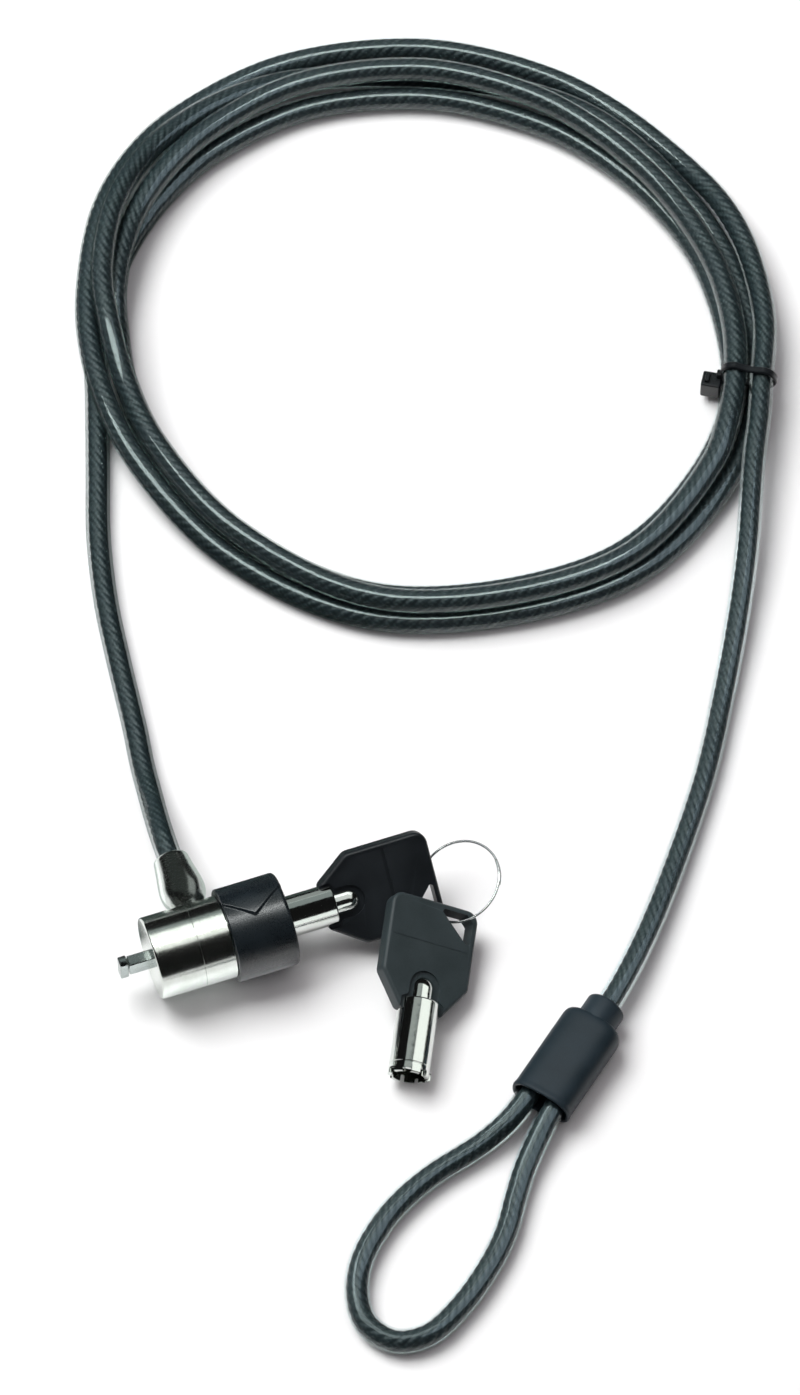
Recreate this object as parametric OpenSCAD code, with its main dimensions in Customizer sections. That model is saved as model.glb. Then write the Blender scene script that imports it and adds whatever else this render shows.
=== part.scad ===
// Laptop cable lock with a tubular key cylinder, two keys on a ring,
// a coiled cable and a loop eye. Millimetres, +Z up, standing on z = 0.

/* [Lock head] */
// Outer radius of the nose drum and of the swivel band
barrel_r = 9; // [8.6:0.1:9.4]
// Outer radius of the grip collar, which rests on the surface
collar_r = 10.25; // [9.6:0.05:10.4]
// Length of the nose drum in front of the band
nose_l = 9.8; // [8:0.1:9.8]
// Length of the grip collar
collar_l = 13.5; // [12.8:0.1:13.5]
// Height of the T end, which passes the laptop's slot
t_h = 6; // [5:0.1:6.5]
// Thickness of the T end and of the slot guide
t_w = 2.6; // [2:0.1:2.8]

/* [Cylinder] */
// Number of pin stacks
pins = 7; // [5:1:8]
// Radius of the circle that the pins stand on
pin_pcr = 4.1; // [4.1:0.02:4.14]
// Radius of one pin
pin_r = 0.65; // [0.5:0.05:0.65]
// Radius of the centre post that the key slides over
post_r = 3.35; // [3:0.05:3.35]

/* [Keys] */
// Outer radius of the tubular blade
tube_r = 4.45; // [4.2:0.05:4.6]
// Bore radius of the tubular blade
tube_bore_r = 3.55; // [3.5:0.05:3.7]
// Thickness of the plastic bow
bow_t = 4.1; // [3.6:0.1:4.1]
// Width of the plastic bow
bow_w = 20.4; // [20:0.1:20.6]
// Mean radius of the wire ring
ring_r = 9.3; // [9.2:0.05:9.4]
// Radius of the ring's wire
wire_r = 0.38; // [0.3:0.02:0.4]

/* [Cable] */
// Outside diameter of the jacketed cable
cable_d = 5.5; // [5:0.1:5.5]
// Inner radius of the coil's bundle
coil_in = 60.7; // [60:0.1:62]
// Outer radius of the coil's bundle
coil_out = 83; // [82:0.1:84]
// Height of the coil's bundle
coil_h = 11.2; // [10.5:0.1:12]

/* [Hidden] */
$fn = 64;

axis_z = collar_r;              // the head lies on its collar
band_x0 = nose_l + 0.1;         // band between the nose drum and the collar
band_x1 = 16.9;
collar_x0 = 17;
collar_x1 = collar_x0 + collar_l;
sleeve_r = 7.9;                 // sleeve under band and collar
sleeve_x1 = 28.5;
bore_r = 6.4;                   // housing bore for the stator
chamber_r = pin_r + 0.05;
shear_x = 17.4;                 // shear line between driver and key pins
plug_r = 5.1;
plug_x1 = 24.3;
key_tip_x = 24.4;
key_roll = 41;                  // how the key in the lock lies about its axis
fer_x = 11.6;                   // ferrule axis
fer_y = 21.9;                   // cable end of the ferrule
bow_x0 = 14.4;                  // bow base, from the key's tip
bow_x1 = 39.6;                  // bow end, from the key's tip
cut_depth = [0.6, 1.2, 0.3, 0.9, 1.4, 0.5, 1.0, 0.7];

// spare key, lying beside the head: tip centre, yaw, pitch, roll
kb_tip = [43.7, -41.8, 4.4];
kb_yaw = 63;
kb_pitch = 8.4;
kb_roll = 26.4;

// wire ring: centre and tilt
ring_c = [68.6, -3.3, 9.45];
ring_tilt = -23;                // about Y
ring_tip = 0;                   // about X

// coil centre and the two free stretches of the cable
coil_c = [108.6, 135.4];
lead_a = [[11.6, 21.9, 10.25], [11.7, 27, 10], [12.2, 33, 8.2], [13.2, 41, 4.9],
          [14.2, 50, 3.1], [15.5, 59, 2.75], [17.5, 77, 2.75], [19.5, 92, 2.75],
          [23, 108, 2.75], [28, 124, 2.75]];
lead_b = [[174.5, 95.8, 9], [170.5, 86.6, 8.7], [166, 77.6, 8.1], [161.9, 68.4, 7.3],
          [156.9, 57.2, 6.2], [148.7, 41.2, 4.4], [139.4, 24.8, 3.1], [129.5, 8.5, 2.75],
          [117.5, -8, 3], [106, -22.5, 3.8], [96.5, -33, 4.6], [89.3, -39.8, 5]];
// the loop, from one hole of the crimp round to the other
loop_pts = [[73.4, -48.8, 5], [70.3, -51.3, 5], [66.2, -54.5, 4.8], [60.5, -58.3, 4.1],
            [53.6, -61.1, 3.1], [41.2, -64.6, 2.75], [33.5, -68, 2.75], [27, -72.3, 2.75],
            [20.6, -78.8, 2.75], [17.2, -86, 2.75], [17, -93, 2.75], [21.4, -98.6, 2.75],
            [28.4, -99.4, 2.75], [37, -95.3, 2.75], [46.5, -87.7, 2.75], [52, -81.6, 2.75],
            [56, -75.5, 2.75], [60, -69.8, 3], [64.6, -64.6, 3.8], [69.9, -59.4, 4.8],
            [74.1, -56, 5], [77.2, -53.5, 5]];

// loop sleeve: collar end, mouth end, direction
slv_a = [89.3, -39.8, 5];
slv_yaw = 219;                  // from the collar towards the mouth
slv_l = 27.4;                   // collar end to mouth
slv_collar = 5;                 // length of the round collar
leg_off = 3;                    // each loop leg beside the sleeve's axis

// The frame's origin is the middle of the head, keys and ring, on the surface.
kb_dir = [cos(kb_yaw) * cos(kb_pitch), sin(kb_yaw) * cos(kb_pitch), sin(kb_pitch)];
ring_n = [sin(ring_tilt), -sin(ring_tip) * cos(ring_tilt), cos(ring_tip) * cos(ring_tilt)];
x_lo = -7;
x_hi = ring_c[0] + ring_r * sqrt(1 - ring_n[0] * ring_n[0]) + wire_r;
y_lo = kb_tip[1] - tube_r * sqrt(1 - kb_dir[1] * kb_dir[1]);
y_hi = collar_r;
org = [-(x_lo + x_hi) / 2, -(y_lo + y_hi) / 2, 0];

// ---------- helpers ----------
module place() { translate(org) children(); }
module on_axis(x = 0) { translate([x, 0, axis_z]) rotate([0, 90, 0]) children(); }
// solid of revolution about the head's axis; profile points are [radius, x]
module turned(p) { place() on_axis() rotate_extrude($fn = 96) polygon(p); }
module disc(x0, x1, r) { on_axis(x0) cylinder(r = r, h = x1 - x0); }
module pin_ring(x0, x1, r, n = pins) {
    for (i = [0 : n - 1])
        translate([0, 0, axis_z]) rotate([360 / n * i + 12, 0, 0])
            translate([x0, 0, pin_pcr]) rotate([0, 90, 0]) cylinder(r = r, h = x1 - x0, $fn = 24);
}

// Sweep a round section along points: frames carried with a fixed reference.
function unit(v) = v / norm(v);
function tangent(p, i) = unit(p[min(i + 1, len(p) - 1)] - p[max(i - 1, 0)]);
function side(t) = unit(cross(abs(t[2]) > 0.9 ? [1, 0, 0] : [0, 0, 1], t));
function ring_at(c, t, r, n) = let(s = side(t), w = cross(t, s))
    [for (k = [0 : n - 1]) c + r * (cos(360 * k / n) * s + sin(360 * k / n) * w)];
// smooth points between the route's points
function mid(p, i, u) = let(
    a = p[max(i - 1, 0)], b = p[i], c = p[i + 1], d = p[min(i + 2, len(p) - 1)])
    0.5 * (2 * b + (c - a) * u + (2 * a - 5 * b + 4 * c - d) * u * u
        + (3 * b - 3 * c + d - a) * u * u * u);
function smooth(p, m) = concat([for (i = [0 : len(p) - 2]) for (j = [0 : m - 1]) mid(p, i, j / m)],
    [p[len(p) - 1]]);
module tube(p, r, n = 10) {
    q = [for (i = [0 : len(p) - 1]) each ring_at(p[i], tangent(p, i), r, n)];
    m = len(p);
    faces = concat(
        [[for (k = [0 : n - 1]) k]],
        [for (i = [0 : m - 2]) for (k = [0 : n - 1])
            [i * n + k, (i + 1) * n + k, (i + 1) * n + (k + 1) % n, i * n + (k + 1) % n]],
        [[for (k = [n - 1 : -1 : 0]) (m - 1) * n + k]]);
    polyhedron(q, faces, convexity = 6);
}

// ---------- lock head, outside ----------
module front_barrel() {
    color([0.78, 0.79, 0.77]) difference() {
        turned([[0, 0], [8.6, 0], [barrel_r, 0.4], [barrel_r, nose_l - 0.2], [barrel_r - 0.2, nose_l],
                [sleeve_r, nose_l], [sleeve_r, sleeve_x1], [bore_r, sleeve_x1], [bore_r, 2], [0, 2]]);
        place() translate([-1, -t_w / 2, axis_z - 2.05]) cube([4, t_w, 4.1]);
        place() translate([20, 0, axis_z]) rotate([180, 0, 0]) cylinder(r = 0.9, h = 9, $fn = 32);
    }
}

module swivel_band() {
    color([0.8, 0.81, 0.79]) difference() {
        turned([[sleeve_r + 0.05, band_x0], [barrel_r - 0.15, band_x0], [barrel_r, band_x0 + 0.15],
                [barrel_r, band_x1 - 0.15], [barrel_r - 0.15, band_x1], [sleeve_r + 0.05, band_x1]]);
        place() translate([13, 0, axis_z]) rotate([-90, 0, 0]) cylinder(r = 1.8, h = 12, $fn = 40);
    }
}

module cable_ferrule() {
    color([0.83, 0.85, 0.83]) place() {
        difference() {
            translate([fer_x, 0, axis_z]) rotate([-90, 0, 0]) rotate_extrude($fn = 72)
                polygon([[0, 5], [3, 5], [3.1, 7], [3.35, 8.8], [4.1, 10.2], [4.75, 11.7], [5, 13.4], [4.75, 15.8],
                         [4.3, 18.4], [3.95, 20.9], [3.7, 21.5], [3.2, fer_y], [0, fer_y]]);
            // seat on the band, and room for the turning nose drum
            disc(band_x0, collar_x0 + 1, barrel_r);
            disc(-1, band_x0, barrel_r + 0.3);
            // cable hole and the pocket of the swaged stop
            translate([fer_x, 12.4, axis_z]) rotate([-90, 0, 0]) cylinder(r = cable_d / 2, h = 12);
        }
        // spigot pressed into the band
        intersection() {
            translate([13, 0, axis_z]) rotate([-90, 0, 0]) cylinder(r = 1.8, h = 11, $fn = 40);
            difference() { disc(10, 16.5, 11); disc(9, 17, sleeve_r + 0.12); }
            translate([8, 0, axis_z - 3]) cube([8.6, 11, 6]);
        }
    }
}

module cable_stop() {
    color([0.6, 0.6, 0.6]) place() translate([fer_x, 12.4, axis_z]) rotate([-90, 0, 0])
        cylinder(r = 2.5, h = 3.6, $fn = 40);
}

module rear_collar() {
    color([0.09, 0.1, 0.11]) difference() {
        turned([[sleeve_r, collar_x0], [collar_r - 0.3, collar_x0], [collar_r, collar_x0 + 0.3],
                [collar_r, collar_x1 - 0.8], [collar_r - 0.8, collar_x1], [7, collar_x1],
                [6.9, collar_x1 - 0.1], [6.9, sleeve_x1 + 0.1], [sleeve_r, sleeve_x1 + 0.1]]);
        // shallow moulded V recess on the side that faces up
        place() translate([0, 0, axis_z]) rotate([15, 0, 0])
            translate([collar_x0 - 1, 0, collar_r - 0.5]) linear_extrude(3)
                polygon([[0, 3.4], [0, -7], [15.6, -7], [15.6, 3.4], [10.6, 3.4], [7.2, 0.7], [3.8, 3.4]]);
    }
}

module keyway_bezel() {
    color([0.75, 0.75, 0.73]) difference() {
        turned([[5.15, 27], [bore_r, 27], [bore_r, sleeve_x1 - 0.1], [6.2, sleeve_x1 + 0.1],
                [5.35, sleeve_x1 + 0.1], [5.15, sleeve_x1 - 0.1]]);
        // home mark where the key's nub goes in
        place() translate([0, 0, axis_z]) rotate([key_roll + 90, 0, 0])
            translate([26, -0.7, 0]) cube([4, 1.4, 5.8]);
    }
}

module slot_guide() {
    color([0.7, 0.72, 0.7]) place() difference() {
        union() {
            translate([-5, -t_w / 2, axis_z - 2.05]) cube([7, t_w, 4.1]);
            disc(2, 3.2, 3.4);
        }
        disc(-6, 4, 1.25);
    }
}

module t_bar() {
    color([0.72, 0.74, 0.72]) place() {
        disc(-5.3, 22, 1.2);
        intersection() {
            translate([-7, -t_w / 2, axis_z - t_h / 2]) cube([1.85, t_w, t_h]);
            disc(-7, -5.15, t_h / 2);
        }
    }
}

// ---------- lock head, inside ----------
module cylinder_housing() {
    color([0.78, 0.66, 0.36]) difference() {
        turned([[1.25, 4.5], [bore_r, 4.5], [bore_r, 26.95], [5.15, 26.95], [5.15, shear_x], [1.25, shear_x]]);
        place() pin_ring(9, shear_x + 1, chamber_r);
        place() translate([20, 0, axis_z]) rotate([180, 0, 0]) cylinder(r = 0.9, h = 9, $fn = 32);
    }
}

module lock_plug() {
    color([0.8, 0.7, 0.42]) difference() {
        union() {
            place() disc(shear_x + 0.05, plug_x1, plug_r);
            place() disc(plug_x1 - 0.1, 28.4, post_r);
            // rib that drives the key's inner notch
            place() translate([0, 0, axis_z]) rotate([key_roll + 90, 0, 0])
                translate([plug_x1 - 0.1, -0.4, 2]) cube([2.6, 0.8, 1.75]);
        }
        place() pin_ring(shear_x - 1, plug_x1 + 1, chamber_r);
        place() disc(10, 22.2, 1.2);
    }
}

module key_pins() {
    color([0.85, 0.75, 0.5]) place()
        for (i = [0 : pins - 1])
            translate([0, 0, axis_z]) rotate([360 / pins * i + 12, 0, 0])
                translate([shear_x + 0.05, 0, pin_pcr]) rotate([0, 90, 0])
                    cylinder(r = pin_r, h = key_tip_x - shear_x + cut_depth[i] - 0.15, $fn = 24);
}

module driver_pins() { color([0.8, 0.72, 0.45]) place() pin_ring(14.4, shear_x - 0.02, pin_r); }

module pin_springs() {
    color([0.6, 0.62, 0.64]) place()
        for (i = [0 : pins - 1])
            translate([0, 0, axis_z]) rotate([360 / pins * i + 12, 0, 0])
                translate([9, 0, pin_pcr]) rotate([0, 90, 0]) rotate_extrude($fn = 16)
                    polygon(concat([for (k = [0 : 12]) [k % 2 == 0 ? 0.6 : 0.42, 5.4 / 12 * k]],
                                   [for (k = [12 : -1 : 0]) [k % 2 == 0 ? 0.42 : 0.26, 5.4 / 12 * k]]));
}

module retaining_pin() {
    color([0.6, 0.6, 0.62]) place() translate([20, 0, axis_z - 5.3]) rotate([180, 0, 0])
        cylinder(r = 0.9, h = 2.4, $fn = 32);
}

module spindle_clip() {
    color([0.5, 0.5, 0.52]) place() difference() {
        disc(3.35, 4, 2.6);
        disc(3, 5, 1.2);
    }
}

// ---------- keys: local X from the tip to the bow, Z normal to the bow ----------
module key_blade() {
    color([0.82, 0.84, 0.82]) difference() {
        union() {
            rotate([0, 90, 0]) cylinder(r = tube_r, h = 16.9);
            rotate([0, 90, 0]) cylinder(r = 2.75, h = 19.9);
            translate([19.9, 0, 0]) sphere(r = 2.75, $fn = 40);
            // nub that enters the home mark
            translate([0.1, -tube_r - 0.5, -0.6]) cube([1.9, 1, 1.2]);
        }
        translate([-1, 0, 0]) rotate([0, 90, 0]) cylinder(r = tube_bore_r, h = 15.4);
        // inner notch over the plug's rib
        translate([-1, -tube_r + 0.3, -0.6]) cube([4, 1.2, 1.2]);
        // bitting at the rim
        for (i = [0 : pins - 1])
            rotate([360 / pins * i + 12 - key_roll, 0, 0]) translate([-1, 0, pin_pcr + 0.25])
                rotate([0, 90, 0]) cylinder(r = 0.95, h = 1 + cut_depth[i], $fn = 24);
    }
}

module key_head() {
    w = bow_w / 2;
    color([0.13, 0.15, 0.16]) difference() {
        translate([0, 0, -bow_t / 2]) linear_extrude(bow_t)
            polygon(concat([[bow_x0, -4.9], [bow_x0 + 7.3, -w]],
                [for (a = [-90 : 15 : 0]) [bow_x1 - 2.5 + 2.5 * cos(a), -w + 2.5 + 2.5 * sin(a)]],
                [for (a = [0 : 15 : 90]) [bow_x1 - 2.5 + 2.5 * cos(a), w - 2.5 + 2.5 * sin(a)]],
                [[bow_x0 + 7.3, w], [bow_x0, 4.9]]));
        // moulded round the blade's root
        translate([bow_x0 - 1, 0, 0]) rotate([0, 90, 0]) cylinder(r = tube_r, h = 3.5);
        translate([bow_x0, 0, 0]) rotate([0, 90, 0]) cylinder(r = 2.75, h = 5.5);
        translate([19.9, 0, 0]) sphere(r = 2.75, $fn = 40);
        // corner hole for the ring
        translate([0, 0, -5]) linear_extrude(10)
            polygon([[38.4, -1.9], [38.4, -7.4], [36.9, -8.9], [31.9, -8.9], [31.6, -8.1], [37.7, -1.6]]);
    }
}

module pose_a() { place() translate([key_tip_x, 0, axis_z]) rotate([key_roll, 0, 0]) children(); }
module pose_b() {
    place() translate(kb_tip) rotate([0, 0, kb_yaw]) rotate([0, -kb_pitch, 0]) rotate([kb_roll, 0, 0]) children();
}
module key_a_blade() { pose_a() key_blade(); }
module key_a_head() { pose_a() key_head(); }
module key_b_blade() { pose_b() key_blade(); }
module key_b_head() { pose_b() key_head(); }

module key_ring() {
    color([0.75, 0.76, 0.76]) place() translate(ring_c) rotate([ring_tip, 0, 0]) rotate([0, ring_tilt, 0])
        rotate_extrude($fn = 96) translate([ring_r, 0]) circle(r = wire_r, $fn = 20);
}

// ---------- cable ----------
module cable_lead_lock() {
    color([0.2, 0.26, 0.28]) place() tube(smooth(concat([[fer_x, 16, axis_z]], lead_a), 2), cable_d / 2);
}

module cable_coil() {
    color([0.2, 0.26, 0.28]) place() translate([coil_c[0], coil_c[1], 0]) rotate_extrude($fn = 128)
        polygon([[coil_in + 2, 0], [coil_out - 2, 0], [coil_out, 2], [coil_out, 5], [coil_out - 3, coil_h - 1],
                 [coil_out - 5, coil_h], [coil_in + 4, coil_h], [coil_in + 1, coil_h - 2], [coil_in, 2]]);
}

module cable_lead_loop() {
    color([0.2, 0.26, 0.28]) place() tube(concat(smooth(lead_b, 2), [[79.5, -47.7, 5]]), cable_d / 2);
}

module cable_loop() { color([0.2, 0.26, 0.28]) place() tube(loop_pts, cable_d / 2); }

module sleeve_pose() { place() translate(slv_a) rotate([0, 0, slv_yaw]) children(); }
// oval section of half width a and half height b, along +X
module oval(a, b, x0, x1) {
    for (s = [-1, 1]) translate([x0, s * (a - b), 0]) rotate([0, 90, 0]) cylinder(r = b, h = x1 - x0, $fn = 48);
    translate([x0, -(a - b), -b]) cube([x1 - x0, 2 * (a - b), 2 * b]);
}

module loop_sleeve() {
    color([0.14, 0.16, 0.18]) sleeve_pose() difference() {
        union() {
            rotate([0, 90, 0]) cylinder(r = 4.4, h = slv_collar + 1);
            oval(6.85, 4.6, slv_collar + 1, slv_l);
            oval(6.3, 4.4, slv_collar, slv_collar + 1.1);
        }
        translate([-1, 0, 0]) rotate([0, 90, 0]) cylinder(r = cable_d / 2, h = 10);
        oval(5.8, 3.2, 8, slv_l + 1);
    }
}

module loop_crimp() {
    color([0.7, 0.71, 0.72]) sleeve_pose() difference() {
        oval(5.8, 3.2, 11, 21.5);
        for (s = [-1, 1]) translate([17.9, s * leg_off, 0]) rotate([0, 90, 0]) cylinder(r = cable_d / 2, h = 5);
        translate([10, 0, 0]) rotate([0, 90, 0]) cylinder(r = cable_d / 2, h = 4);
    }
}

// Nylon tie round the two strands on top of the coil.
module coil_tie() {
    color([0.07, 0.07, 0.08]) place() translate([172, 97.3, 9]) rotate([0, 0, -31]) {
        difference() {
            union() {
                rotate([90, 0, 0]) translate([0, 0, -1]) linear_extrude(2) union() {
                    translate([-3, 0]) circle(r = 3.5, $fn = 40);
                    translate([3, 0]) circle(r = 3.5, $fn = 40);
                    translate([-3, -3.5]) square([6, 7]);
                }
                translate([-10.3, -3.1, -7.2]) cube([4.4, 3.9, 4.8]);
                translate([-7.2, -0.8, -4.6]) cube([1.8, 1.6, 3.7]);
            }
            rotate([90, 0, 0]) translate([0, 0, -3]) linear_extrude(6) union() {
                translate([-3, 0]) circle(r = 2.75, $fn = 40);
                translate([3, 0]) circle(r = 2.75, $fn = 40);
                translate([-3, -2.75]) square([6, 5.5]);
            }
        }
    }
}

front_barrel();
swivel_band();
cable_ferrule();
rear_collar();
keyway_bezel();
slot_guide();
t_bar();
cylinder_housing();
lock_plug();
key_pins();
driver_pins();
pin_springs();
retaining_pin();
spindle_clip();
cable_stop();
key_a_blade();
key_a_head();
key_b_blade();
key_b_head();
key_ring();
cable_lead_lock();
cable_coil();
cable_lead_loop();
cable_loop();
loop_sleeve();
loop_crimp();
coil_tie();
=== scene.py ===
"""Laptop cable lock: the looks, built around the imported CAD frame."""
import bpy
import bmesh
import math
import numpy as np
from mathutils import Matrix, Vector


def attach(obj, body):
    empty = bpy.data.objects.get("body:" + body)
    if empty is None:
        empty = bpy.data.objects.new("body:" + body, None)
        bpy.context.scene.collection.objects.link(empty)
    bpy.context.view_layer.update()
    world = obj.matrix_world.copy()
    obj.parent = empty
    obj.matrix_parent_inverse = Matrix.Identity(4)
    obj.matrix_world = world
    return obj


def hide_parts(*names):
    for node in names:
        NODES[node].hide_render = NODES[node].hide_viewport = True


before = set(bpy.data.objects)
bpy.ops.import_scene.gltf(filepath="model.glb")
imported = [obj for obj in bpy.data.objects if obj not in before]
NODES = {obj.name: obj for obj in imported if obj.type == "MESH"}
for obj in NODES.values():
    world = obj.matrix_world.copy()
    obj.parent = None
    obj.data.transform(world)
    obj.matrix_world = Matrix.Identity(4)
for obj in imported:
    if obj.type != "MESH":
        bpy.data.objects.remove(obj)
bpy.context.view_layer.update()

MM = 0.001
R = math.radians

# ------------------------------------------------------------------ dimensions
# Local frame, in mm: the middle of the nose face is over the origin, +X along
# the lock's axis, +Y towards the coil. ORG moves it to the row frame.
AXIS_Z = 10.25
KB_TIP = (43.7, -41.8, 4.4)
KB_YAW, KB_PITCH, KB_ROLL = 63.0, 8.4, 26.4
KEY_TIP_X, KEY_ROLL = 24.4, 41.0
TUBE_R = 4.45
RING_C = (68.6, -3.3, 9.45)
RING_R, WIRE_R, RING_TILT = 9.3, 0.38, -23.0

_dy = math.sin(R(KB_YAW)) * math.cos(R(KB_PITCH))
_nx = math.sin(R(RING_TILT))
ORG = np.array([
    -(-7 + RING_C[0] + RING_R * math.sqrt(1 - _nx * _nx) + WIRE_R) / 2,
    -(KB_TIP[1] - TUBE_R * math.sqrt(1 - _dy * _dy) + AXIS_Z) / 2,
    0.0,
])
PLACE = Matrix.Diagonal((MM, MM, MM, 1)) @ Matrix.Translation(Vector(ORG))
HEAD = PLACE @ Matrix.Translation((0, 0, AXIS_Z))                  # head axis, local x along it
POSE_A = HEAD @ Matrix.Translation((KEY_TIP_X, 0, 0)) @ Matrix.Rotation(R(KEY_ROLL), 4, "X")
POSE_B = (PLACE @ Matrix.Translation(KB_TIP) @ Matrix.Rotation(R(KB_YAW), 4, "Z")
          @ Matrix.Rotation(R(-KB_PITCH), 4, "Y") @ Matrix.Rotation(R(KB_ROLL), 4, "X"))
SLEEVE = PLACE @ Matrix.Translation((89.3, -39.8, 5)) @ Matrix.Rotation(R(219), 4, "Z")
TIE = PLACE @ Matrix.Translation((172, 97.3, 9)) @ Matrix.Rotation(R(-31), 4, "Z")

# The cable's route, as in the CAD model, in mm.
LEAD_A = [(11.6, 21.9, 10.25), (11.7, 27, 10), (12.2, 33, 8.2), (13.2, 41, 4.9),
          (14.2, 50, 3.1), (15.5, 59, 2.75), (17.5, 77, 2.75), (19.5, 92, 2.75),
          (23, 108, 2.75), (28, 124, 2.75)]
LEAD_B = [(174.5, 95.8, 9), (170.5, 86.6, 8.7), (166, 77.6, 8.1), (161.9, 68.4, 7.3),
          (156.9, 57.2, 6.2), (148.7, 41.2, 4.4), (139.4, 24.8, 3.1), (129.5, 8.5, 2.75),
          (117.5, -8, 3), (106, -22.5, 3.8), (96.5, -33, 4.6), (89.3, -39.8, 5)]
LOOP = [(73.4, -48.8, 5), (70.3, -51.3, 5), (66.2, -54.5, 4.8), (60.5, -58.3, 4.1),
        (53.6, -61.1, 3.1), (41.2, -64.6, 2.75), (33.5, -68, 2.75), (27, -72.3, 2.75),
        (20.6, -78.8, 2.75), (17.2, -86, 2.75), (17, -93, 2.75), (21.4, -98.6, 2.75),
        (28.4, -99.4, 2.75), (37, -95.3, 2.75), (46.5, -87.7, 2.75), (52, -81.6, 2.75),
        (56, -75.5, 2.75), (60, -69.8, 3), (64.6, -64.6, 3.8), (69.9, -59.4, 4.8),
        (74.1, -56, 5), (77.2, -53.5, 5)]
COIL_C = (108.6, 135.4)
# Turns of the coil: angle round from the lead, radius, height.
TURNS = [
    [(0, 76.8, 2.75), (12, 74.0, 2.75), (22, 71.7, 2.75), (36, 68.7, 2.75), (48, 66.6, 2.75),
     (60, 64.9, 2.75), (80, 63.1, 2.75), (104, 62.3, 2.75), (125, 63.0, 2.75), (140, 64.2, 2.75),
     (160, 65.7, 2.75), (180, 67.3, 2.75), (206, 69.5, 2.75), (225, 69.2, 2.75), (250, 68.7, 2.75),
     (290, 68.8, 2.75), (320, 69.5, 2.75), (345, 69.7, 2.75)],
    [(0, 69.6, 3.2), (12, 69.2, 5.7), (22, 69.4, 7.9), (36, 69.0, 8.4), (48, 68.3, 8.4),
     (60, 67.4, 8.3), (80, 66.8, 8.2), (104, 66.6, 8.1), (125, 66.4, 8.2), (140, 66.4, 8.25),
     (160, 67.0, 8.3), (180, 68.4, 8.3), (195, 69.3, 8.7), (206, 70.0, 9.0), (215, 70.7, 8.6), (225, 71.5, 7.95), (250, 72.6, 7.65),
     (290, 72.6, 7.65), (320, 71.2, 8.05), (345, 70.4, 8.4)],
    [(0, 70.2, 8.85), (12, 71.0, 11.4), (22, 72.4, 12.6), (36, 73.4, 12.2), (48, 73.6, 10.2),
     (60, 72.8, 7.6), (70, 71.9, 5.7), (80, 71.0, 3.6), (104, 68.3, 2.75), (125, 69.6, 3.6),
     (140, 70.8, 4.6), (160, 71.3, 4.2), (180, 73.0, 2.9), (206, 75.2, 2.75), (225, 75.2, 2.75),
     (250, 75.1, 2.75), (290, 75.1, 2.75), (320, 75.2, 3.3), (345, 75.6, 6.6)],
    [(0, 75.8, 8.35), (12, 75.7, 8.3), (22, 75.6, 7.6), (36, 76.5, 7.3), (48, 77.0, 5.8),
     (60, 77.0, 3.9), (80, 76.5, 2.75), (104, 75.9, 2.75), (125, 75.9, 2.75), (140, 76.1, 2.75),
     (160, 76.9, 3.6), (170, 77.2, 5.7), (180, 77.0, 6.7), (194, 76.5, 8.1)],
]
ROPE_R = 2.08          # outer radius of the rope as it shows through the jacket
COIL_FULLER = 0.16     # and by how much it fills the jacket more where turns lie side by side
JACKET_R = 2.70


def coil_point(phi, r, z):
    th = 175.0 - phi
    rr = r + 0.4 + 2.9 * math.cos(R(2 * (th - 109)))
    return (COIL_C[0] + rr * math.cos(R(th)), COIL_C[1] + rr * math.sin(R(th)), z)


def smooth_line(pts, step):
    """Points every `step` mm along a chord-length Catmull-Rom curve through pts."""
    P = np.array(pts, float)
    Q = np.vstack([2 * P[0] - P[1], P, 2 * P[-1] - P[-2]])
    out = []
    for i in range(1, len(P)):
        p0, p1, p2, p3 = Q[i - 1], Q[i], Q[i + 1], Q[i + 2]
        a, b, c = (max(np.linalg.norm(v) ** 0.5, 1e-6) for v in (p1 - p0, p2 - p1, p3 - p2))
        m1 = (p2 - p1) + b * ((p1 - p0) / a - (p2 - p0) / (a + b))
        m2 = (p2 - p1) + b * ((p3 - p2) / c - (p3 - p1) / (b + c))
        for k in range(24):
            t = k / 24
            out.append((2 * t**3 - 3 * t**2 + 1) * p1 + (t**3 - 2 * t**2 + t) * m1
                       + (-2 * t**3 + 3 * t**2) * p2 + (t**3 - t**2) * m2)
    out.append(P[-1])
    S = np.array(out)
    s = np.concatenate([[0], np.cumsum(np.linalg.norm(np.diff(S, axis=0), axis=1))])
    n = max(2, int(round(s[-1] / step)))
    u = np.linspace(0, s[-1], n + 1)
    return np.stack([np.interp(u, s, S[:, k]) for k in range(3)], 1), s[-1]


CABLE_ROUTE = ([(11.6, 16.2, 10.25)] + LEAD_A
               + [coil_point(*q) for turn in TURNS for q in turn]
               + LEAD_B + [(79.7, -47.57, 5)])

# ------------------------------------------------------------------ camera
EYE = Vector((-238.8, -737.9, 1472.2)) * MM
LOOK = Vector((37.93, 65.93, 0.0)) * MM


def add_camera():
    cam = bpy.data.objects.new("camera", bpy.data.cameras.new("camera"))
    bpy.context.scene.collection.objects.link(cam)
    cam.location = EYE
    cam.rotation_mode = "QUATERNION"
    cam.rotation_quaternion = (LOOK - EYE).to_track_quat("-Z", "Y")
    cam.data.sensor_fit = "VERTICAL"
    cam.data.sensor_height = 36
    cam.data.sensor_width = 36
    cam.data.lens = 200.5
    cam.data.clip_start, cam.data.clip_end = 0.05, 50
    bpy.context.scene.camera = cam
    return cam


# the view's own right and far directions on the floor
_f = (LOOK - EYE).normalized()
RIGHT = _f.cross(Vector((0, 0, 1))).normalized()
FAR = Vector((0, 0, 1)).cross(RIGHT).normalized()


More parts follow.
